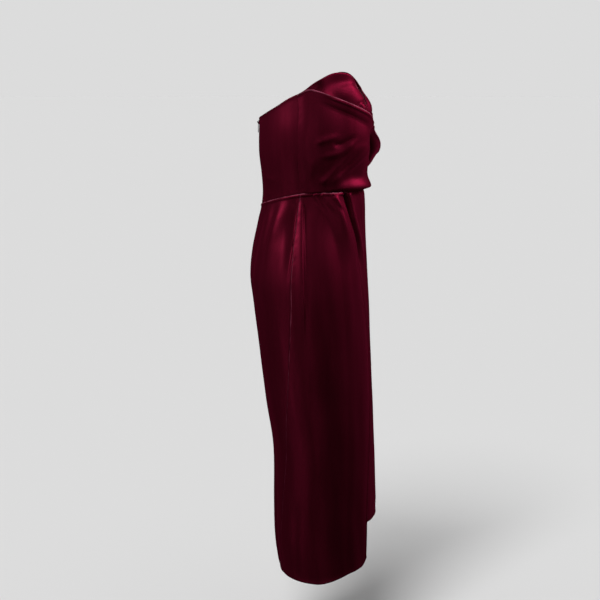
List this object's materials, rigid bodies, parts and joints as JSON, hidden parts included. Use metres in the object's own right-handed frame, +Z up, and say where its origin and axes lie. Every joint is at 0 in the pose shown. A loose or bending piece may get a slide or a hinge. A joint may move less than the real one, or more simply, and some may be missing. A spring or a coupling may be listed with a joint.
{
  "type": "strapless midi dress",
  "caption": "Strapless velvet midi dress in its worn form: sweetheart bodice under crossed drapes, waist seam and pegged wrap skirt, open at neck and hem.",
  "frame": {"origin": "middle of the waist seam, on the wearer's own axis, where the waist of the wearer holds the dress", "axes": "+Z up the wearer, -Y out of the wearer's front, -X to the wearer's right"},
  "size_m": [0.3731, 0.2923, 1.1569],
  "materials": {
    "velvet": "deep burgundy short-pile velvet",
    "zip_metal": "burgundy lacquered zip metal"
  },
  "bodies": {
    "dress": {"bodice_front_right": "velvet", "bodice_front_left": "velvet", "bodice_back_right": "velvet", "bodice_back_left": "velvet", "bodice_drape_right": "velvet", "bodice_drape_left": "velvet", "skirt_front_right": "velvet", "skirt_front_left": "velvet", "skirt_back_right": "velvet", "skirt_back_left": "velvet", "zip_slider": "zip_metal"},
    "zip_pull": {"zip_pull": "zip_metal"}
  },
  "joints": [
    {"name": "zip_pull_hinge", "type": "hinge", "parent": "dress", "child": "zip_pull", "pos_m": [0, 0.12606, 0.1655], "axis": [1, 0, 0], "range_deg": [0, 150]}
  ]
}
